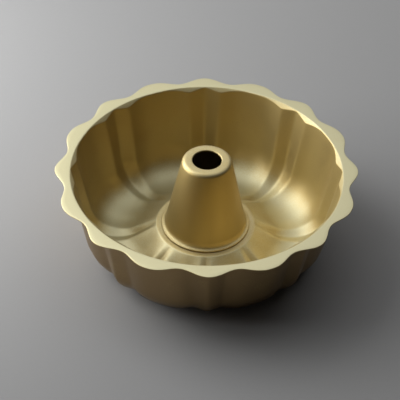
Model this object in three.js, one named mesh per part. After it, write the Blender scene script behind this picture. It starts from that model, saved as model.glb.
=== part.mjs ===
// A fluted ring cake pan: a bowl drawn from one steel sheet, with wide lobes, narrow flutes and a
// scalloped flange, and a tapered tube that is locked into the middle of the bowl's floor.
// Millimetres, +Z up. The origin is on the pan's axis, on the surface that the pan stands on.
// The middle of one narrow flute lies on -Y.

import * as THREE from 'three';

const { degToRad, clamp } = THREE.MathUtils;

// Bowl: sizes
const sheet = 0.8; // thickness of the bowl's steel
const rimDiameter = 250; // across the tips of the scallops
const rimHeight = 76.3; // top of the flange above the surface that the pan stands on
const scallopHeight = 6.9; // from a dip of the flange's edge out to a tip
const flangeWidth = 5.1; // flat of the flange at a dip
const rimBend = 0.7; // inside radius of the bend from flange to wall, at the middle of a lobe
const wallTaper = degToRad(9.5); // lean of the wall
const lobeDepth = 4.2; // from a crease out to the middle of a lobe or flute
const standPress = 0.3; // how much the round bottom of each lobe is pressed flat
const floorSlope = degToRad(36); // fall of a lobe's floor from the land
const landHeight = 17.3; // top of the flat land round the tube
const landWidth = 5.6; // from the tube's bead to the land's outer edge
const landBend = 2.2; // inside radius of the bend from land to floor

// Bowl: the pattern round the axis
const fluteCount = 8;
const firstFlute = degToRad(-90); // direction of the first flute
const rimCrease = degToRad(9.5); // from a flute's middle to its crease, at the rim
const floorCrease = degToRad(7.7); // the same on the floor
const dipAngle = degToRad(10.75); // from a flute's middle to the dip of the flange's edge
const lobeCrown = 0.25; // flat share of a lobe's half width
const scallopFullness = 1.2; // above 1, the scallop of a wide lobe is fuller than a cosine wave

// Tube: sizes
const tubeSheet = 0.8; // thickness of the tube's steel
const tubeRise = 10.9; // top of the tube above the flange
const tubeTopDiameter = 41; // across the top, round the shoulder
const shoulderBend = 2.2; // inside radius of the shoulder
const ventDiameter = 24; // hole in the top
const ventLip = 1.8; // depth of the hole's turned down edge
const lipBend = 0.2; // inside radius of that edge
const footDiameter = 71.2; // across the cone where it meets the bead
const beadReach = 1.8; // how far the bead stands out from the cone
const beadHeight = 1.6;
const neckInset = 1.1; // how far the neck below the bead is set in from the cone's foot
const curlReach = 2.9; // how far the edge is curled out under the floor
const seamClearance = 0.3; // between the tube and the bowl's hole, and under the floor

// Steps of the facets
const fluteSteps = 6; // across a flute
const lobeSteps = 8; // across a lobe
const landSteps = 2;
const floorSteps = 2;
const cornerSteps = 6;
const rimSteps = 3;
const tubeSides = 56;
const tubeBendSteps = 4;

// Finish: a champagne gold non-stick coat with a satin metallic sheen
const coatColour = 0xb89c62;
const coatRoughness = 0.38;
const coatMetalness = 0.9;

// Places that both pieces share
const footRadius = footDiameter / 2;
const beadRadius = footRadius + beadReach;
const neckRadius = footRadius - neckInset;
const holeRadius = neckRadius + seamClearance;

// Lines of the bowl's section at the middle of a lobe, on the inside face
const tipRadius = rimDiameter / 2;
const dipRadius = tipRadius - scallopHeight;
const flangeRadius = dipRadius - flangeWidth;
const wallTurn = Math.PI / 2 - wallTaper;
const wallRadius = flangeRadius - (rimBend + sheet) * Math.tan(wallTurn / 2);
const landEdge = beadRadius + landWidth;

// The trough is the one arc that runs smoothly from the sloping floor into the wall.
const lowest = sheet - standPress;
const troughRoom = wallRadius - (rimHeight - lowest) * Math.tan(wallTaper)
  - landEdge - (landHeight - lowest) / Math.tan(floorSlope);
const troughSpread = 1 / Math.cos(wallTaper) - Math.tan(wallTaper)
  + Math.sin(floorSlope) - (1 - Math.cos(floorSlope)) / Math.tan(floorSlope);
const troughRadius = troughRoom / troughSpread;
const troughZ = troughRadius + lowest;
const troughR = wallRadius - (rimHeight - troughZ) * Math.tan(wallTaper) - troughRadius / Math.cos(wallTaper);
const standAngle = Math.acos(troughZ / (troughRadius + sheet));

// Points on an arc in the section's plane, as [radius from the axis, height]
function arc([r, z], radius, from, to, steps) {
  const points = [];
  for (let step = 0; step <= steps; step++) {
    const angle = from + (to - from) * step / steps;
    points.push([r + radius * Math.cos(angle), z + radius * Math.sin(angle)]);
  }
  return points;
}

// The bowl's section from its hole to the start of the flange. The inset is how far the section lies
// inside the middle of a lobe, and depth is how far below the inside face the points lie.
function bowlSection(inset, depth) {
  const trough = troughRadius - inset;
  const landToTrough = [troughR - landEdge, troughZ - landHeight];
  const slope = Math.asin(trough / Math.hypot(...landToTrough)) - Math.atan2(landToTrough[1], landToTrough[0]);
  const landRound = landBend + sheet;
  const rimRound = (flangeRadius - wallRadius + inset / Math.cos(wallTaper)) / Math.tan(wallTurn / 2);
  const landCentre = [landEdge - landRound * Math.tan(slope / 2), landHeight - landRound];
  const troughCentre = [troughR, troughZ];
  const rimCentre = [flangeRadius, rimHeight - rimRound];
  const down = -Math.PI / 2;
  const up = Math.PI / 2;
  return [
    [holeRadius, landHeight - depth],
    ...arc(landCentre, landRound - depth, up, up - slope, landSteps),
    ...arc(troughCentre, trough + depth, down - slope, down - standAngle, floorSteps),
    ...arc(troughCentre, trough + depth, down + standAngle, -wallTaper, cornerSteps),
    ...arc(rimCentre, rimRound - depth, Math.PI - wallTaper, up, rimSteps),
  ];
}

// Stations across one flute and the wide lobe after it. Each gives its direction for a crease at
// some angle from the flute's middle, how far it stands out between crease and middle, and the
// height of the flange's scallop there, both from 0 to 1.
function patternStations() {
  const halfPitch = Math.PI / fluteCount;
  const stations = [];
  for (let step = 0; step < fluteSteps; step++) {
    const share = 2 * step / fluteSteps - 1;
    stations.push({
      direction: (crease) => share * crease,
      fold: 1 - share ** 2,
      scallop: (1 + Math.cos(Math.PI * share)) / 2,
    });
  }
  for (let step = 0; step < lobeSteps; step++) {
    const share = 2 * step / lobeSteps - 1;
    const offCrown = Math.max(0, (Math.abs(share) - lobeCrown) / (1 - lobeCrown));
    stations.push({
      direction: (crease) => halfPitch + share * (halfPitch - crease),
      fold: 1 - offCrown ** 2,
      scallop: (1 + Math.cos(Math.PI * Math.abs(share) ** scallopFullness)) / 2,
    });
  }
  return stations;
}

// A crease runs closer to its flute on the floor than at the rim.
function creaseAt(radius) {
  const share = clamp((radius - troughR) / (flangeRadius - troughR), 0, 1);
  return floorCrease + (rimCrease - floorCrease) * share;
}

function pointAt(direction, [r, z]) {
  return [r * Math.cos(direction), r * Math.sin(direction), z];
}

// One face of the sheet at one station, from the hole out to the flange's edge
function bowlFace(station, flute, depth) {
  const crease = bowlSection(lobeDepth, depth);
  const lobe = bowlSection(0, depth);
  const points = crease.map(([r, z], row) => {
    const direction = flute + station.direction(creaseAt(r));
    const [lobeR, lobeZ] = lobe[row];
    return pointAt(direction, [r + (lobeR - r) * station.fold, z + (lobeZ - z) * station.fold]);
  });
  const edgeRadius = dipRadius + scallopHeight * station.scallop;
  points.push(pointAt(flute + station.direction(dipAngle), [edgeRadius, rimHeight - depth]));
  return points;
}

// Joins closed loops of points, one loop for each station round the axis, into a closed ring.
function ringGeometry(loops) {
  const size = loops[0].length;
  const index = [];
  loops.forEach((loop, station) => {
    const here = station * size;
    const next = (station + 1) % loops.length * size;
    for (let row = 0; row < size; row++) {
      const after = (row + 1) % size;
      index.push(here + row, here + after, next + after);
      index.push(here + row, next + after, next + row);
    }
  });
  const geometry = new THREE.BufferGeometry();
  geometry.setAttribute('position', new THREE.Float32BufferAttribute(loops.flat(2), 3));
  geometry.setIndex(index);
  geometry.computeVertexNormals();
  return geometry;
}

function bowlGeometry() {
  const loops = [];
  for (let count = 0; count < fluteCount; count++) {
    const flute = firstFlute + 2 * Math.PI * count / fluteCount;
    for (const station of patternStations()) {
      const inside = bowlFace(station, flute, 0);
      const outside = bowlFace(station, flute, sheet);
      loops.push([...inside, ...outside.reverse()]);
    }
  }
  return ringGeometry(loops);
}

// The tube's section goes up the outside, over the top, into the vent and down the inside.
function tubeSection() {
  const top = rimHeight + tubeRise;
  const shoulder = shoulderBend + tubeSheet;
  const shoulderCentre = [tubeTopDiameter / 2 - shoulder, top - shoulder];
  const lip = lipBend + tubeSheet;
  const ventRadius = ventDiameter / 2;
  const lipCentre = [ventRadius + lip, top - lip];
  const beadTop = landHeight + beadHeight;
  const beadRound = beadHeight / 2;
  const footToShoulder = [footRadius - shoulderCentre[0], shoulderCentre[1] - beadTop];
  const coneAngle = Math.atan2(...footToShoulder) - Math.asin(shoulder / Math.hypot(...footToShoulder));
  const innerNeck = neckRadius - tubeSheet;
  const innerFoot = footRadius - tubeSheet / Math.cos(coneAngle);
  const curlTop = landHeight - sheet - seamClearance;
  const curlBottom = curlTop - tubeSheet;
  const curlRadius = neckRadius + curlReach;
  const up = Math.PI / 2;
  return [
    [innerNeck, curlBottom],
    [curlRadius, curlBottom],
    [curlRadius, curlTop],
    [neckRadius, curlTop],
    [neckRadius, landHeight],
    ...arc([beadRadius - beadRound, landHeight + beadRound], beadRound, -up, up, tubeBendSteps),
    [footRadius, beadTop],
    ...arc(shoulderCentre, shoulder, coneAngle, up, tubeBendSteps),
    ...arc(lipCentre, lip, up, Math.PI, tubeBendSteps),
    [ventRadius, top - ventLip],
    [ventRadius + tubeSheet, top - ventLip],
    ...arc(lipCentre, lipBend, Math.PI, up, 1),
    ...arc(shoulderCentre, shoulderBend, up, coneAngle, tubeBendSteps),
    [innerFoot, beadTop],
    [innerNeck, landHeight],
    [innerNeck, curlBottom],
  ];
}

function tubeGeometry() {
  const section = tubeSection().map(([r, z]) => new THREE.Vector2(r, z));
  return new THREE.LatheGeometry(section, tubeSides).rotateX(Math.PI / 2);
}

function coatedSteel(name, geometry) {
  const material = new THREE.MeshStandardMaterial({
    color: coatColour,
    roughness: coatRoughness,
    metalness: coatMetalness,
  });
  const mesh = new THREE.Mesh(geometry, material);
  mesh.name = name;
  return mesh;
}

const pan = new THREE.Group();
pan.name = 'ring_cake_pan';
pan.add(coatedSteel('fluted_bowl', bowlGeometry()));
pan.add(coatedSteel('centre_tube', tubeGeometry()));

export default pan;
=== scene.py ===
import math
from types import SimpleNamespace

import bmesh
import bpy
from bpy.props import FloatProperty, FloatVectorProperty, IntProperty, PointerProperty
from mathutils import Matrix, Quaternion, Vector


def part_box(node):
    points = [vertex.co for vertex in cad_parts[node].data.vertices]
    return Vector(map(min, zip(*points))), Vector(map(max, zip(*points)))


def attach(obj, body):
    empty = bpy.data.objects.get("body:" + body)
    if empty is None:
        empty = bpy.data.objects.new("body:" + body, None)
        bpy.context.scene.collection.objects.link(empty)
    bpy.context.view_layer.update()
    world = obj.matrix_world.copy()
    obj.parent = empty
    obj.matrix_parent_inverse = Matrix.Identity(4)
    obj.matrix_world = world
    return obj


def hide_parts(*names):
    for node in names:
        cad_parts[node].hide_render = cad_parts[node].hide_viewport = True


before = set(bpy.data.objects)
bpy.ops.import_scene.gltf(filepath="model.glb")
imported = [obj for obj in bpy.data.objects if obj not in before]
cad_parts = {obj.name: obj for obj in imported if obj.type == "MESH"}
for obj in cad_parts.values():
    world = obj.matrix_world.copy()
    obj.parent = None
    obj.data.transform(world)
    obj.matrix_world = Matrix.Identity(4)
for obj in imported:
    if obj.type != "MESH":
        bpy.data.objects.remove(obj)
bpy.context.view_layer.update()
BOWL_LOW, BOWL_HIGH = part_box("fluted_bowl")
TUBE_LOW, TUBE_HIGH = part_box("centre_tube")

# A fluted ring cake pan: a bowl drawn from one steel sheet, with wide lobes, narrow flutes and a
# scalloped flange, and a tapered tube that is locked into the middle of the bowl's floor. Metres, +Z up,
# the origin on the pan's axis where it stands, the middle of one narrow flute on -Y.
bl_info = {
    "name": "Fluted ring cake pan",
    "version": (1, 0, 0),
    "blender": (4, 5, 0),
    "location": "View3D > Sidebar > Cake pan",
    "description": "Builds a gold non-stick ring cake pan around its CAD frame, with a plain studio stage",
    "category": "Add Mesh",
}

MM = 0.001
UP = math.pi / 2
DOWN = -math.pi / 2
BODY = "root"
# The attribute that tells the coat how far a point looks up, for its painted light and shade. Also the most
# that counts on the land and the tube's top, which gives them painted shade.
FACING_UP = "facing_up"
SHADED_LAND_FACING = 0.73
# A noise pattern's value runs from 0 to 1 and is this on average.
AVERAGE_NOISE = 0.5
MERGE_DISTANCE = 0.002 * MM
# The lamps look at this point, about half way up the pan.
PAN_MIDDLE = Vector((0, 0, 0.05))

# The photograph's frame, and where the middle of the rim lies in it, in pixels
PHOTO_SIDE = 400
RIM_CENTRE_PIXEL = (206.80, 169.81)
# Width of the camera's sensor, in millimetres
SENSOR_WIDTH = 36

# Steps of the bowl's mesh across a flute and a lobe, and along each stretch of its section
FLUTE_COLUMNS = 36
LOBE_COLUMNS = 44
LAND_STEPS = 3
LAND_BEND_STEPS = 6
FLOOR_STEPS = 6
TROUGH_STEPS = 22
WALL_STEPS = 8
RIM_STEPS = 5
FLANGE_STEPS = 3
EDGE_STEPS = 6

# Steps of the tube's mesh
TUBE_SIDES = 160
TUBE_BEND_STEPS = 8
LIP_STEPS = 2
CONE_STEPS = 12


def length(name, millimetres, description):
    """A size that a user can set, given in millimetres and kept in metres."""
    return FloatProperty(
        name=name, description=description, default=millimetres * MM, min=0, precision=5, unit="LENGTH"
    )


def angle(name, degrees, description):
    """An angle that a user can set, given in degrees and kept in radians."""
    return FloatProperty(name=name, description=description, default=math.radians(degrees), subtype="ANGLE")


def share(name, value, description):
    """A share from 0 to 1 that a user can set."""
    return FloatProperty(name=name, description=description, default=value, min=0, max=1, subtype="FACTOR")


def strength(name, value, description):
    """A strength that a user can set, which may be above 1."""
    return FloatProperty(name=name, description=description, default=value, min=0)


def colour(name, hexadecimal, description):
    """A colour that a user can set, given as an sRGB hex value and kept in linear light."""
    return FloatVectorProperty(
        name=name, description=description, default=linear(hexadecimal), size=4, min=0, max=1, subtype="COLOR"
    )


def linear(hexadecimal):
    """An sRGB hex value as linear red, green, blue and alpha."""
    levels = [int(hexadecimal[place:place + 2], 16) / 255 for place in (1, 3, 5)]
    return tuple(v / 12.92 if v <= 0.04045 else ((v + 0.055) / 1.055) ** 2.4 for v in levels) + (1.0,)


class BowlSizes(bpy.types.PropertyGroup):
    """Sizes of the bowl that is drawn from one sheet."""

    sheet: length("Sheet", 0.8, "Thickness of the steel")
    rim_diameter: length("Rim diameter", (BOWL_HIGH.x - BOWL_LOW.x) / MM, "Across the tips of the scallops")
    rim_height: length("Rim height", BOWL_HIGH.z / MM, "Top of the flange above what the pan stands on")
    scallop_height: length("Scallop height", 6.9, "From a dip of the flange's edge out to a tip")
    flange_width: length("Flange width", 5.1, "Flat of the flange at a dip")
    rim_bend: length("Rim bend", 0.7, "Inside radius of the bends between flange and wall")
    rim_slant: angle("Rim slant", 40, "Fall of the facet between the flange and the top of a crease")
    wall_taper: angle("Wall taper", 9.5, "Lean of the wall")
    lobe_depth: length("Lobe depth", 4.0, "From a crease out to a lobe's middle, at the foot of the wall")
    rim_lobe_depth: length("Rim lobe depth", 2.4, "The same at the top of the wall")
    floor_lobe_depth: length("Floor lobe depth", 1.8, "The same under the trough")
    stand_press: length("Stand press", 0.3, "How much the bottom of each lobe is pressed flat")
    floor_slope: angle("Floor slope", 36, "Fall of a lobe's floor from the land")
    land_height: length("Land height", 17.3, "Top of the flat land round the tube")
    land_width: length("Land width", 4.1, "From the tube's bead to the land's outer edge")
    land_bend: length("Land bend", 3, "Inside radius of the bend from land to floor")
    flutes: IntProperty(name="Flutes", description="Narrow flutes round the bowl", default=8, min=3)
    first_flute: angle("First flute", -90, "Direction of the first flute")
    rim_crease: angle("Rim crease", 7.5, "From a flute's middle to its crease, at the rim")
    floor_crease: angle("Floor crease", 6.0, "From a flute's middle to its crease, on the floor")
    dip_angle: angle("Dip angle", 10.75, "From a flute's middle to the dip of the flange's edge")
    lobe_crown: share("Lobe crown", 0.25, "Flat share of a lobe's half width")
    scallop_fullness: strength("Scallop fullness", 1.2, "Above 1, a lobe's scallop is fuller than a wave")
    crease_softness: share("Crease softness", 0.19, "How round the creases between lobes and flutes are")
    flute_softness: share("Flute softness", 0.12, "How round the middle of a flute is between its flat sides")


class TubeSizes(bpy.types.PropertyGroup):
    """Sizes of the tube in the middle."""

    sheet: length("Sheet", 0.8, "Thickness of the steel")
    top: length("Top", TUBE_HIGH.z / MM, "Top of the tube above what the pan stands on")
    top_diameter: length("Top diameter", 42.1, "Across the top, round the shoulder")
    shoulder_bend: length("Shoulder bend", 3.4, "Inside radius of the shoulder")
    vent_diameter: length("Vent diameter", 24, "Hole in the top")
    vent_lip: length("Vent lip", 1.8, "Depth of the hole's turned down edge")
    lip_bend: length("Lip bend", 0.2, "Inside radius of that edge")
    foot_diameter: length("Foot diameter", 68.8, "Across the cone where it meets the bead")
    bead_reach: length("Bead reach", 3.0, "How far the bead stands out from the cone")
    bead_height: length("Bead height", 1.6, "Height of the bead")
    neck_inset: length("Neck inset", 1.1, "How far the neck is set in from the cone's foot")
    curl_reach: length("Curl reach", 2.9, "How far the edge is curled out under the floor")
    seam_clearance: length("Seam clearance", 0.3, "Between the tube and the bowl's hole")


class CoatFinish(bpy.types.PropertyGroup):
    """Look of the non-stick coat."""

    # Pale, deep and dark gold are painted light and shade, mixed by how far a face looks up. Pale gold is a
    # painted highlight on faces that look up, deep gold is painted shade on walls and slopes, and dark gold
    # is darker painted shade on faces that look down. Level, sloping, steep and unevenness set where they
    # meet.
    painted_highlight_gold: colour("Pale gold", "#CEC8A2", "Colour where many flakes have settled")
    painted_shade_gold: colour("Deep gold", "#C0AB71", "Colour of the inner walls, where few flakes have settled")
    painted_dark_shade_gold: colour("Dark gold", "#997E50", "Colour of faces that look down, where hardly any have settled")
    level: share("Level", 0.97, "How far a face looks up, at least, to be all pale gold")
    sloping: share("Sloping", 0.62, "How far a face looks up, at most, to be without pale gold")
    steep: share("Steep", 0.15, "How far a face looks up or down, at most, to be between deep and dark gold")
    unevenness: share("Unevenness", 0.5, "How unevenly the flakes have settled")
    roughness: share("Roughness", 0.52, "Roughness of pale and deep gold, at least")
    dark_roughness: share("Dark roughness", 0.4, "Roughness of dark gold, at least")
    roughness_spread: share("Roughness spread", 0.06, "How much rougher the coat is in patches")
    binder: share("Binder", 0.55, "Weight of the clear binder over the pigment")
    binder_roughness: share("Binder roughness", 0.41, "Roughness of the binder's face")
    flake_size: length("Flake size", 1.2, "Width that the metallic flakes are drawn at")
    flake_depth: length("Flake depth", 0.004, "Relief of the flakes")
    cloud_size: length("Cloud size", 25, "Width of the patches where the spray lies thicker")
    wave_size: length("Wave size", 14, "Width of the drawn sheet's faint waves")
    wave_depth: length("Wave depth", 0.02, "Relief of the waves")


class StageSettings(bpy.types.PropertyGroup):
    """Floor, lamps and camera."""

    floor_colour: colour("Floor colour", "#AEAEAE", "Colour of the paper floor")
    floor_size: length("Floor size", 6000, "Side of the square floor")
    floor_roughness: share("Floor roughness", 0.6, "Roughness of the paper")
    fibre_size: length("Fibre size", 3, "Width of the paper's faint fibres")
    fibre_shade: share("Fibre shade", 0.97, "Brightness of the darkest fibres beside the floor's colour")
    key_azimuth: angle("Key azimuth", 153.7, "Direction from the pan to the key softbox")
    key_elevation: angle("Key elevation", 38.2, "Height of the key softbox, as an angle")
    key_distance: length("Key distance", 989, "From the pan to the key softbox")
    key_width: length("Key width", 690, "Width of the key softbox")
    key_height: length("Key height", 1023, "Height of the key softbox")
    key_radiance: strength("Key radiance", 2.65, "Light from each part of the key softbox")
    fill_azimuth: angle("Fill azimuth", 91.4, "Direction from the pan to the fill softbox")
    fill_elevation: angle("Fill elevation", 54.1, "Height of the fill softbox, as an angle")
    fill_distance: length("Fill distance", 1300, "From the pan to the fill softbox")
    fill_side: length("Fill side", 2424, "Side of the square fill softbox")
    fill_radiance: strength("Fill radiance", 0.86, "Light from each part of the fill softbox")
    low_azimuth: angle("Low azimuth", 167.9, "Direction from the pan to the low softbox")
    low_elevation: angle("Low elevation", 17.3, "Height of the low softbox, as an angle")
    low_distance: length("Low distance", 539, "From the pan to the low softbox")
    low_width: length("Low width", 539, "Width of the low softbox")
    low_height: length("Low height", 401, "Height of the low softbox")
    low_radiance: strength("Low radiance", 4.33, "Light from each part of the low softbox")
    world_level: share("World level", 0.0135, "Light from the dim studio all round")
    camera_azimuth: angle("Camera azimuth", -91.903, "Direction from the pan to the camera")
    camera_elevation: angle("Camera elevation", 40.634, "Height of the camera above the rim, as an angle")
    camera_distance: length("Camera distance", 1169.32, "From the middle of the rim to the camera")
    camera_roll: angle("Camera roll", 1.612, "Turn of the camera about its line of sight")
    lens: length("Lens", 127.8, "Focal length on a sensor 36 mm wide")


def add_node(tree, kind, inputs=(), output="", **settings):
    """Adds a node and returns its named output, or else its first. Inputs go to sockets in order or by
    name, as a value or as the output that feeds the socket, and settings are the node's own."""
    node = tree.nodes.new(kind)
    for name, value in settings.items():
        setattr(node, name, value)
    if isinstance(inputs, dict):
        pairs = [(node.inputs[name], value) for name, value in inputs.items()]
    else:
        pairs = zip([socket for socket in node.inputs if socket.enabled], inputs)
    for socket, value in pairs:
        if isinstance(value, bpy.types.NodeSocket):
            tree.links.new(value, socket)
        elif value is not None:
            socket.default_value = value
    if output:
        return node.outputs[output]
    return next((socket for socket in node.outputs if socket.enabled), node)


def arc(centre, radius, start, end, steps):
    """Points on an arc in the section's plane, as distance from the axis and height."""
    turns = [start + (end - start) * step / steps for step in range(steps + 1)]
    return [(centre[0] + radius * math.cos(turn), centre[1] + radius * math.sin(turn)) for turn in turns]


def between(start, end, steps):
    """Points that divide a straight stretch, without its two ends."""
    shares = [step / steps for step in range(1, steps)]
    return [(start[0] + (end[0] - start[0]) * s, start[1] + (end[1] - start[1]) * s) for s in shares]


def bowl_lines(bowl, tube):
    """The radii and heights that the bowl's sections hang on, worked out from its sizes."""
    taper, slope = bowl.wall_taper, bowl.floor_slope
    dip = bowl.rim_diameter / 2 - bowl.scallop_height
    flange = dip - bowl.flange_width
    wall = flange - (bowl.rim_bend + bowl.sheet) * math.tan((UP - taper) / 2)
    foot = tube.foot_diameter / 2
    hole = foot - tube.neck_inset + tube.seam_clearance
    land_edge = foot + tube.bead_reach + bowl.land_width
    # The trough is the one arc that runs smoothly from the sloping floor into the wall.
    lowest = bowl.sheet - bowl.stand_press
    room = (wall - (bowl.rim_height - lowest) * math.tan(taper)
            - land_edge - (bowl.land_height - lowest) / math.tan(slope))
    spread = 1 / math.cos(taper) - math.tan(taper) + math.sin(slope) - (1 - math.cos(slope)) / math.tan(slope)
    trough = room / spread
    trough_z = trough + lowest
    trough_r = wall - (bowl.rim_height - trough_z) * math.tan(taper) - trough / math.cos(taper)
    return SimpleNamespace(dip=dip, flange=flange, hole=hole, land_edge=land_edge,
                           trough=trough, trough_z=trough_z, trough_r=trough_r)


def bowl_face(bowl, lines, crease, depth):
    """One face of the sheet from the hole out to the flange's rounded edge. The section lies on a crease
    if crease is 1 and at the middle of a lobe if it is 0, and depth is how far below the inside face the
    points lie."""
    taper = bowl.wall_taper
    # A crease is shallower under the trough than at the foot of the wall, so its arc lies a little lower.
    lowering = crease * (bowl.lobe_depth - bowl.floor_lobe_depth) / (1 - math.sin(taper))
    trough = lines.trough - crease * bowl.floor_lobe_depth - lowering
    if trough <= 0:
        raise ValueError("The bowl has no room for its trough between land and wall")
    trough_centre = (lines.trough_r, lines.trough_z - lowering)
    run, rise = trough_centre[0] - lines.land_edge, trough_centre[1] - bowl.land_height
    slope = math.asin(trough / math.hypot(run, rise)) - math.atan2(rise, run)
    land_round = bowl.land_bend + bowl.sheet
    rim_round = bowl.rim_bend + bowl.sheet
    slant = bowl.rim_slant
    slant_length = crease * bowl.rim_lobe_depth / math.cos(slant + taper)
    rim_centre = (lines.flange, bowl.rim_height - rim_round)
    crease_centre = (rim_centre[0] - slant_length * math.cos(slant),
                     rim_centre[1] - slant_length * math.sin(slant))
    land_centre = (lines.land_edge - land_round * math.tan(slope / 2), bowl.land_height - land_round)
    hole = (lines.hole, bowl.land_height - depth)
    land_bend = arc(land_centre, land_round - depth, UP, UP - slope, LAND_BEND_STEPS)
    trough_bend = arc(trough_centre, trough + depth, DOWN - slope, -taper, TROUGH_STEPS)
    # A crease leaves the flange by a slanted facet, which has no length at the middle of a lobe.
    crease_bend = arc(crease_centre, rim_round - depth, math.pi - taper, UP + slant, RIM_STEPS)
    rim_bend = arc(rim_centre, rim_round - depth, UP + slant, UP, RIM_STEPS)
    edge = (lines.dip - bowl.sheet / 2, bowl.rim_height - depth)
    points = [
        hole, *between(hole, land_bend[0], LAND_STEPS),
        *land_bend, *between(land_bend[-1], trough_bend[0], FLOOR_STEPS),
        *trough_bend, *between(trough_bend[-1], crease_bend[0], WALL_STEPS),
        *crease_bend, *rim_bend, *between(rim_bend[-1], edge, FLANGE_STEPS),
    ]
    # The bottom of the outside face is pressed flat where the pan stands.
    return [(r, max(z, 0.0)) for r, z in points]


def bowl_section(bowl, lines, crease):
    """The closed outline of the sheet: over the inside face, round the flange's edge and back."""
    half = bowl.sheet / 2
    inside = bowl_face(bowl, lines, crease, 0)
    edge = arc((lines.dip - half, bowl.rim_height - half), half, UP, DOWN, EDGE_STEPS)
    outside = bowl_face(bowl, lines, crease, bowl.sheet)
    return [*inside, *edge, *reversed(outside)]


def rounded(result, value, softness):
    """Rules for the size of a value from 0 to 1, with its turn at 0 rounded off."""
    rules = [
        ("softness squared", "MULTIPLY", softness, softness),
        ("value squared", "MULTIPLY_ADD", value, value, "softness squared"),
        ("value root", "SQRT", "value squared"),
        ("value height", "SUBTRACT", "value root", softness),
        ("full squared", "ADD", 1, "softness squared"),
        ("full root", "SQRT", "full squared"),
        ("full height", "SUBTRACT", "full root", softness),
        (result, "DIVIDE", "value height", "full height"),
    ]
    return rules


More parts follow.
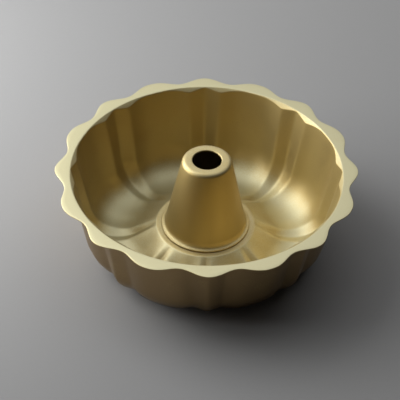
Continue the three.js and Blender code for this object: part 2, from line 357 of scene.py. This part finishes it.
def folded_ring_tree():
    """Geometry nodes that fold a section round the axis. The incoming mesh holds the outline on a crease
    and then the outline at the middle of a lobe, and each column of the ring lies between the two."""
    tree = bpy.data.node_groups.new("Folded ring", "GeometryNodeTree")
    sockets = [
        ("Outlines", "NodeSocketGeometry"), ("Outline Points", "NodeSocketInt"), ("Flutes", "NodeSocketInt"),
        ("Flute Columns", "NodeSocketInt"), ("Lobe Columns", "NodeSocketInt"),
        ("First Flute", "NodeSocketFloat"), ("Dip Angle", "NodeSocketFloat"),
        ("Rim Crease", "NodeSocketFloat"), ("Floor Crease", "NodeSocketFloat"),
        ("Lobe Crown", "NodeSocketFloat"), ("Scallop Fullness", "NodeSocketFloat"),
        ("Crease Softness", "NodeSocketFloat"), ("Flute Softness", "NodeSocketFloat"),
        ("Trough Place", "NodeSocketFloat"), ("Flange Place", "NodeSocketFloat"),
        ("Edge Place", "NodeSocketFloat"), ("Scallop Height", "NodeSocketFloat"),
        ("Coat", "NodeSocketMaterial"),
    ]
    for name, kind in sockets:
        tree.interface.new_socket(name, in_out="INPUT", socket_type=kind)
    tree.interface.new_socket("Ring", in_out="OUTPUT", socket_type="NodeSocketGeometry")
    given = tree.nodes.new("NodeGroupInput").outputs

    # Each result of the rule: its name, the operation and what goes in.
    place_rule = [
        ("period", "ADD", "Flute Columns", "Lobe Columns"),
        ("columns", "MULTIPLY", "Flutes", "period"),
        ("column edges", "ADD", "columns", 1),
        ("row edges", "ADD", "Outline Points", 1),
        ("column run", "DIVIDE", "index", "row edges"),
        ("column", "FLOOR", "column run"),
        ("row edge", "FLOORED_MODULO", "index", "row edges"),
        ("crease row", "FLOORED_MODULO", "row edge", "Outline Points"),
        ("lobe row", "ADD", "crease row", "Outline Points"),
    ]
    # Where a column lies across its flute or lobe: -1 on one crease, 0 in the middle, 1 on the other. A
    # column is in a lobe from the lobe's first one on, and half a column of room takes up rounding.
    across_rule = [
        ("flute run", "DIVIDE", "column", "period"),
        ("flute number", "FLOOR", "flute run"),
        ("place", "FLOORED_MODULO", "column", "period"),
        ("past flute", "SUBTRACT", "place", "Flute Columns"),
        ("in lobe", "GREATER_THAN", "past flute", -0.5),
        ("skipped", "MULTIPLY", "in lobe", "Flute Columns"),
        ("own place", "SUBTRACT", "place", "skipped"),
        ("more columns", "SUBTRACT", "Lobe Columns", "Flute Columns"),
        ("own columns", "MULTIPLY_ADD", "in lobe", "more columns", "Flute Columns"),
        ("own share", "DIVIDE", "own place", "own columns"),
        ("across", "MULTIPLY_ADD", "own share", 2, -1),
        ("off middle", "ABSOLUTE", "across"),
    ]
    # How far a column stands out, from 0 on a crease to 1 in the middle. A lobe is round, and a flute has
    # two flat sides that meet in a rounded edge. The creases are rounded too.
    fold_rule = [
        ("past crown", "SUBTRACT", "off middle", "Lobe Crown"),
        ("off crown room", "SUBTRACT", 1, "Lobe Crown"),
        ("off crown run", "DIVIDE", "past crown", "off crown room"),
        ("off crown", "MAXIMUM", "off crown run", 0),
        ("lobe fall", "MULTIPLY", "off crown", "off crown"),
        *rounded("flute fall", "across", "Flute Softness"),
        ("extra fall", "SUBTRACT", "lobe fall", "flute fall"),
        ("fall", "MULTIPLY_ADD", "in lobe", "extra fall", "flute fall"),
        ("sharp fold", "SUBTRACT", 1, "fall"),
        *rounded("fold", "sharp fold", "Crease Softness"),
    ]
    # How far the flange's edge reaches out of its dips, from 0 to 1.
    scallop_rule = [
        ("fuller", "SUBTRACT", "Scallop Fullness", 1),
        ("fullness", "MULTIPLY_ADD", "in lobe", "fuller", 1),
        ("scallop share", "POWER", "off middle", "fullness"),
        ("scallop turn", "MULTIPLY", "scallop share", math.pi),
        ("scallop wave", "COSINE", "scallop turn"),
        ("scallop", "MULTIPLY_ADD", "scallop wave", 0.5, 0.5),
    ]
    # How much further out a crease runs over the flange, where it ends in a dip of the edge.
    widening_rule = [
        ("most widening", "SUBTRACT", "Dip Angle", "Rim Crease"),
        ("flange widening", "MULTIPLY", "flange share", "most widening"),
    ]
    # The column's direction. A crease runs closer to its flute on the floor than at the rim.
    direction_rule = [
        ("wall crease", "ADD", "wall widening", "flange widening"),
        ("half pitch", "DIVIDE", math.pi, "Flutes"),
        ("flute turn", "MULTIPLY", "flute number", "half pitch"),
        ("flute direction", "MULTIPLY_ADD", "flute turn", 2, "First Flute"),
        ("both creases", "MULTIPLY", "wall crease", 2),
        ("lobe excess", "SUBTRACT", "half pitch", "both creases"),
        ("half width", "MULTIPLY_ADD", "in lobe", "lobe excess", "wall crease"),
        ("middle", "MULTIPLY_ADD", "in lobe", "half pitch", "flute direction"),
        ("direction", "MULTIPLY_ADD", "across", "half width", "middle"),
    ]
    point_rule = [
        ("reach", "SUBTRACT", "lobe r", "crease r"),
        ("folded r", "MULTIPLY_ADD", "reach", "fold", "crease r"),
        ("scallop reach", "MULTIPLY", "scallop", "Scallop Height"),
        ("r", "MULTIPLY_ADD", "scallop reach", "flange share", "folded r"),
        ("drop", "SUBTRACT", "lobe z", "crease z"),
        ("z", "MULTIPLY_ADD", "drop", "fold", "crease z"),
        ("cosine", "COSINE", "direction"),
        ("sine", "SINE", "direction"),
        ("x", "MULTIPLY", "r", "cosine"),
        ("y", "MULTIPLY", "r", "sine"),
    ]
    results = {socket.name: socket for socket in given if socket.name}
    results["index"] = add_node(tree, "GeometryNodeInputIndex")

    def follow(rule):
        """Adds one node for each result of a rule."""
        for name, operation, *inputs in rule:
            sources = [results[i] if isinstance(i, str) else i for i in inputs]
            results[name] = add_node(tree, "ShaderNodeMath", sources, operation=operation, label=name)

    follow(place_rule)
    place = add_node(tree, "GeometryNodeInputPosition")
    for outline in ("crease", "lobe"):
        sampled = (results["Outlines"], place, results[outline + " row"])
        point = add_node(tree, "GeometryNodeSampleIndex", sampled, data_type="FLOAT_VECTOR", domain="POINT")
        for axis, part in (("X", " r"), ("Z", " z")):
            results[outline + part] = add_node(tree, "ShaderNodeSeparateXYZ", (point,), axis)
    follow(across_rule + fold_rule + scallop_rule)
    crease_r, flange_r, edge_r = results["crease r"], results["Flange Place"], results["Edge Place"]
    results["wall widening"] = add_node(
        tree, "ShaderNodeMapRange",
        (crease_r, results["Trough Place"], flange_r, results["Floor Crease"], results["Rim Crease"]))
    results["flange share"] = add_node(tree, "ShaderNodeMapRange", (crease_r, flange_r, edge_r, 0, 1))
    follow(widening_rule + direction_rule + point_rule)
    grid = add_node(tree, "GeometryNodeMeshGrid", (1, 1, results["column edges"], results["row edges"]))
    point = add_node(tree, "ShaderNodeCombineXYZ", (results["x"], results["y"], results["z"]))
    ring = add_node(tree, "GeometryNodeSetPosition", (grid, None, point))
    ring = add_node(tree, "GeometryNodeMergeByDistance", {"Geometry": ring, "Distance": MERGE_DISTANCE})
    ring = add_node(tree, "GeometryNodeFlipFaces", (ring,))
    ring = add_node(tree, "GeometryNodeSetShadeSmooth", (ring, None, True))
    ring = add_node(tree, "GeometryNodeRealizeInstances", (ring,))
    ring = add_node(tree, "GeometryNodeSetMaterial", (ring, None, results["Coat"]))
    add_node(tree, "NodeGroupOutput", (ring,))
    return tree


def plain_mesh(piece):
    """Turns what a piece's modifiers make into its own mesh, and takes the modifiers off."""
    evaluated = piece.evaluated_get(bpy.context.evaluated_depsgraph_get())
    mesh = bpy.data.meshes.new_from_object(evaluated)
    mesh.name = piece.name
    piece.modifiers.clear()
    piece.data = mesh


def link(thing, name):
    """Puts new data, such as a mesh or a lamp, into the scene as an object."""
    item = bpy.data.objects.new(name, thing)
    bpy.context.scene.collection.objects.link(item)
    return item


def mark_facing(mesh, land_edge):
    """Keeps how far each point of a mesh looks up, from -1 to 1, for the coat's painted light and shade.
    The land and the tube's top count as less level than they are, so that they get painted shade."""
    facing = mesh.attributes.new(FACING_UP, "FLOAT", "POINT")
    for vertex in mesh.vertices:
        most = SHADED_LAND_FACING if vertex.co.xy.length < land_edge else 1
        facing.data[vertex.index].value = min(vertex.normal.z, most)


def fluted_bowl(bowl, tube, coat):
    """The bowl, folded from its two outlines by geometry nodes."""
    lines = bowl_lines(bowl, tube)
    crease = bowl_section(bowl, lines, 1)
    lobe = bowl_section(bowl, lines, 0)
    outlines = bpy.data.meshes.new("bowl_outlines")
    outlines.from_pydata([(r, 0, z) for r, z in crease + lobe], [], [])
    piece = link(outlines, "fluted_bowl_coated")
    modifier = piece.modifiers.new("Folded ring", "NODES")
    modifier.node_group = folded_ring_tree()
    sizes = {
        "Outline Points": len(crease), "Flutes": bowl.flutes,
        "Flute Columns": FLUTE_COLUMNS, "Lobe Columns": LOBE_COLUMNS, "First Flute": bowl.first_flute,
        "Rim Crease": bowl.rim_crease, "Floor Crease": bowl.floor_crease, "Dip Angle": bowl.dip_angle,
        "Lobe Crown": bowl.lobe_crown, "Scallop Fullness": bowl.scallop_fullness,
        "Crease Softness": bowl.crease_softness, "Flute Softness": bowl.flute_softness,
        "Trough Place": lines.trough_r, "Flange Place": lines.flange,
        "Edge Place": lines.dip - bowl.sheet / 2, "Scallop Height": bowl.scallop_height, "Coat": coat,
    }
    for socket in modifier.node_group.interface.items_tree:
        if socket.name in sizes:
            modifier[socket.identifier] = sizes[socket.name]
    plain_mesh(piece)
    mark_facing(piece.data, lines.land_edge)
    return piece


def tube_section(tube, bowl):
    """The tube's closed outline: up the outside, over the top, into the vent and down the inside."""
    shoulder = tube.shoulder_bend + tube.sheet
    shoulder_centre = (tube.top_diameter / 2 - shoulder, tube.top - shoulder)
    lip = tube.lip_bend + tube.sheet
    vent = tube.vent_diameter / 2
    lip_centre = (vent + lip, tube.top - lip)
    lip_end = tube.top - tube.vent_lip
    half = tube.sheet / 2
    foot = tube.foot_diameter / 2
    bead_top = bowl.land_height + tube.bead_height
    bead_round = tube.bead_height / 2
    bead_centre = (foot + tube.bead_reach - bead_round, bowl.land_height + bead_round)
    run, rise = foot - shoulder_centre[0], shoulder_centre[1] - bead_top
    cone = math.atan2(run, rise) - math.asin(shoulder / math.hypot(run, rise))
    neck = foot - tube.neck_inset
    inner_neck = neck - tube.sheet
    inner_foot = (foot - tube.sheet / math.cos(cone), bead_top)
    curl_top = bowl.land_height - bowl.sheet - tube.seam_clearance
    curl_centre = (neck + tube.curl_reach - half, curl_top - half)
    outer_shoulder = arc(shoulder_centre, shoulder, cone, UP, TUBE_BEND_STEPS)
    inner_shoulder = arc(shoulder_centre, tube.shoulder_bend, UP, cone, TUBE_BEND_STEPS)
    return [
        (inner_neck, curl_top - tube.sheet),
        *arc(curl_centre, half, DOWN, UP, TUBE_BEND_STEPS),
        (neck, curl_top),
        (neck, bowl.land_height),
        *arc(bead_centre, bead_round, DOWN, UP, TUBE_BEND_STEPS),
        (foot, bead_top),
        *between((foot, bead_top), outer_shoulder[0], CONE_STEPS),
        *outer_shoulder,
        *arc(lip_centre, lip, UP, math.pi, TUBE_BEND_STEPS),
        *arc((vent + half, lip_end + half), half, math.pi, 2 * math.pi, TUBE_BEND_STEPS),
        *arc(lip_centre, tube.lip_bend, math.pi, UP, LIP_STEPS),
        *inner_shoulder,
        *between(inner_shoulder[-1], inner_foot, CONE_STEPS),
        inner_foot,
        (inner_neck, bowl.land_height),
    ]


def centre_tube(tube, bowl, coat):
    """The tube, spun from its outline."""
    shape = bmesh.new()
    ring = [shape.verts.new((r, 0, z)) for r, z in tube_section(tube, bowl)]
    edges = [shape.edges.new(pair) for pair in zip(ring, ring[1:] + ring[:1])]
    bmesh.ops.spin(
        shape, geom=ring + edges, cent=(0, 0, 0), axis=(0, 0, 1), angle=2 * math.pi, steps=TUBE_SIDES
    )
    bmesh.ops.remove_doubles(shape, verts=shape.verts, dist=MERGE_DISTANCE)
    bmesh.ops.recalc_face_normals(shape, faces=shape.faces)
    for face in shape.faces:
        face.smooth = True
    mesh = bpy.data.meshes.new("centre_tube_coated")
    shape.to_mesh(mesh)
    shape.free()
    mesh.materials.append(coat)
    mark_facing(mesh, bowl_lines(bowl, tube).land_edge)
    return link(mesh, "centre_tube_coated")


def gold_nonstick_coat(finish):
    """Champagne gold non-stick coat, sprayed on drawn carbon steel and baked: fine metallic flakes in a satin
    binder. It gives soft reflections, and its colour holds painted light and shade by how far a face looks
    up:
    pale gold as a painted highlight on faces that look up, deep gold as painted shade on walls and dark gold
    as darker painted shade on faces that look down."""
    material = bpy.data.materials.get("Gold non-stick coat, sprayed")
    if material:
        return material
    material = bpy.data.materials.new("Gold non-stick coat, sprayed")
    material.use_nodes = True
    tree = material.node_tree
    tree.nodes.clear()
    place = add_node(tree, "ShaderNodeTexCoord", output="Object")
    # Real flakes are some 30 micrometres across. They are drawn coarser, so that a trace of them shows.
    # The clouds are patches where the spray lies a little thicker, and the waves those of the drawn sheet.
    flakes, cloud, waves = (
        add_node(tree, "ShaderNodeTexNoise", {"Vector": place, "Scale": 1 / size, "Detail": detail})
        for size, detail in ((finish.flake_size, 2), (finish.cloud_size, 2), (finish.wave_size, 1)))
    # Painted light and shade: the more a face looks up, the paler its gold. Dark gold is painted shade on
    # faces
    #     that look down, deep gold is painted shade on walls, and pale gold is a painted highlight on faces
    #     that look up.
    #     The cloud and flake noise moves these borders unevenly.
    facing = add_node(tree, "ShaderNodeAttribute", output="Fac", attribute_name=FACING_UP)
    patch = add_node(tree, "ShaderNodeMath", (cloud, flakes), operation="MULTIPLY")
    painted_light_share = add_node(tree, "ShaderNodeMath", (patch, finish.unevenness, facing), operation="MULTIPLY_ADD")
    shift = finish.unevenness * AVERAGE_NOISE * AVERAGE_NOISE
    deep = add_node(tree, "ShaderNodeMapRange", (painted_light_share, shift - finish.steep, shift + finish.steep, 0, 1))
    pale = add_node(tree, "ShaderNodeMapRange", (painted_light_share, shift + finish.sloping, shift + finish.level, 0, 1))
    # Dark and deep gold give painted shade, then pale gold is laid over as a painted highlight.
    base = add_node(tree, "ShaderNodeMix", (deep, finish.painted_dark_shade_gold, finish.painted_shade_gold), data_type="RGBA")
    base = add_node(tree, "ShaderNodeMix", (pale, base, finish.painted_highlight_gold), data_type="RGBA")
    # The roughness follows the same share as the painted shade. It is lower on dark gold faces, higher on the
    # rest, and rougher in cloud patches.
    even = add_node(tree, "ShaderNodeMapRange", (deep, 0, 1, finish.dark_roughness, finish.roughness))
    patchy = (cloud, finish.roughness_spread, even)
    roughness = add_node(tree, "ShaderNodeMath", patchy, operation="MULTIPLY_ADD")
    normal = add_node(tree, "ShaderNodeBump", {"Height": waves, "Distance": finish.wave_depth, "Strength": 1})
    normal = add_node(tree, "ShaderNodeBump", {
        "Height": flakes, "Distance": finish.flake_depth, "Strength": 1, "Normal": normal,
    })
    surface = add_node(tree, "ShaderNodeBsdfPrincipled", {
        "Base Color": base, "Metallic": 1, "Roughness": roughness, "Normal": normal,
        "Coat Weight": finish.binder, "Coat Roughness": finish.binder_roughness,
    })
    add_node(tree, "ShaderNodeOutputMaterial", {"Surface": surface})
    return material


def paper_floor(stage):
    """Matt grey paper, rolled out flat: even, soft and without gloss, with a trace of fibre."""
    material = bpy.data.materials.new("Grey paper, rolled")
    material.use_nodes = True
    tree = material.node_tree
    tree.nodes.clear()
    place = add_node(tree, "ShaderNodeTexCoord", output="Object")
    fibre = add_node(
        tree, "ShaderNodeTexNoise", {"Vector": place, "Scale": 1 / stage.fibre_size, "Detail": 3})
    darker = [level * stage.fibre_shade for level in stage.floor_colour[:3]] + [1]
    base = add_node(tree, "ShaderNodeMix", (fibre, darker, stage.floor_colour), data_type="RGBA")
    surface = add_node(tree, "ShaderNodeBsdfDiffuse", {"Color": base, "Roughness": stage.floor_roughness})
    add_node(tree, "ShaderNodeOutputMaterial", {"Surface": surface})
    return material


def aim(item, place, target):
    """Puts an object at a place, looking at a target along its own -Z."""
    item.location = place
    item.rotation_mode = "QUATERNION"
    item.rotation_quaternion = (Vector(target) - Vector(place)).to_track_quat("-Z", "Y")


def towards(azimuth, elevation):
    """The direction at an azimuth from +X and an elevation above the floor."""
    level = math.cos(elevation)
    return Vector((level * math.cos(azimuth), level * math.sin(azimuth), math.sin(elevation)))


def softbox(name, direction, distance, width, height, radiance):
    """A soft rectangular lamp that looks at the pan."""
    lamp = bpy.data.lights.new(name, "AREA")
    lamp.shape = "RECTANGLE"
    lamp.size = width
    lamp.size_y = height
    # Energy is radiance times the lamp's face, over all the directions in front of it.
    lamp.energy = radiance * math.pi * width * height
    box = link(lamp, name)
    box.visible_camera = False
    aim(box, PAN_MIDDLE + direction * distance, PAN_MIDDLE)


class PAN_OT_fluted_bowl(bpy.types.Operator):
    """Build the fluted bowl with its scalloped flange"""

    bl_idname = "pan.fluted_bowl"
    bl_label = "Fluted bowl"

    def execute(self, context):
        scene = context.scene
        piece = fluted_bowl(scene.pan_bowl, scene.pan_tube, gold_nonstick_coat(scene.pan_coat))
        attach(piece, BODY)
        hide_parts("fluted_bowl")
        return {"FINISHED"}


class PAN_OT_centre_tube(bpy.types.Operator):
    """Build the tapered tube with its vent, bead and lock seam"""

    bl_idname = "pan.centre_tube"
    bl_label = "Centre tube"

    def execute(self, context):
        scene = context.scene
        piece = centre_tube(scene.pan_tube, scene.pan_bowl, gold_nonstick_coat(scene.pan_coat))
        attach(piece, BODY)
        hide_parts("centre_tube")
        return {"FINISHED"}


class PAN_OT_stage(bpy.types.Operator):
    """Set up the paper floor, the soft lamps and the camera"""

    bl_idname = "pan.stage"
    bl_label = "Studio stage"

    def execute(self, context):
        scene = context.scene
        stage = scene.pan_stage
        floor_mesh = bpy.data.meshes.new("paper_floor")
        half = stage.floor_size / 2
        corners = [(-half, -half, 0), (half, -half, 0), (half, half, 0), (-half, half, 0)]
        floor_mesh.from_pydata(corners, [], [(0, 1, 2, 3)])
        floor_mesh.materials.append(paper_floor(stage))
        link(floor_mesh, "paper_floor")

        softbox("key_softbox", towards(stage.key_azimuth, stage.key_elevation), stage.key_distance,
                stage.key_width, stage.key_height, stage.key_radiance)
        softbox("fill_softbox", towards(stage.fill_azimuth, stage.fill_elevation), stage.fill_distance,
                stage.fill_side, stage.fill_side, stage.fill_radiance)
        softbox("low_softbox", towards(stage.low_azimuth, stage.low_elevation), stage.low_distance,
                stage.low_width, stage.low_height, stage.low_radiance)
        world = bpy.data.worlds.new("Dim studio")
        world.use_nodes = True
        level = stage.world_level
        world.node_tree.nodes["Background"].inputs["Color"].default_value = (level, level, level, 1)
        scene.world = world

        rim_centre = Vector((0, 0, scene.pan_bowl.rim_height))
        back = towards(stage.camera_azimuth, stage.camera_elevation)
        camera = bpy.data.cameras.new("photo_camera")
        camera.sensor_width = SENSOR_WIDTH
        camera.lens = stage.lens / MM
        camera_object = link(camera, "photo_camera")
        aim(camera_object, rim_centre + back * stage.camera_distance, rim_centre)
        focal = camera.lens / SENSOR_WIDTH * PHOTO_SIDE
        ray = Vector((RIM_CENTRE_PIXEL[0] - PHOTO_SIDE / 2, PHOTO_SIDE / 2 - RIM_CENTRE_PIXEL[1], -focal))
        camera_object.rotation_quaternion = (
            camera_object.rotation_quaternion @ Quaternion((0, 0, 1), stage.camera_roll)
            @ ray.normalized().rotation_difference(Vector((0, 0, -1))))
        scene.camera = camera_object
        scene.view_settings.view_transform = "Standard"
        return {"FINISHED"}


class VIEW3D_PT_cake_pan(bpy.types.Panel):
    """Lists the pan's pieces and its stage in the sidebar"""

    bl_label = "Fluted ring cake pan"
    bl_space_type = "VIEW_3D"
    bl_region_type = "UI"
    bl_category = "Cake pan"

    def draw(self, context):
        for operator in OPERATORS:
            self.layout.operator(operator.bl_idname)


OPERATORS = (PAN_OT_fluted_bowl, PAN_OT_centre_tube, PAN_OT_stage)
GROUPS = {"pan_bowl": BowlSizes, "pan_tube": TubeSizes, "pan_coat": CoatFinish, "pan_stage": StageSettings}
CLASSES = (*GROUPS.values(), *OPERATORS, VIEW3D_PT_cake_pan)


def register():
    for each in CLASSES:
        bpy.utils.register_class(each)
    for name, group in GROUPS.items():
        setattr(bpy.types.Scene, name, PointerProperty(type=group))


def unregister():
    for name in GROUPS:
        delattr(bpy.types.Scene, name)
    for each in reversed(CLASSES):
        bpy.utils.unregister_class(each)


def main():
    register()
    bpy.ops.pan.fluted_bowl()
    bpy.ops.pan.centre_tube()
    bpy.ops.pan.stage()


if __name__ == "__main__":
    main()
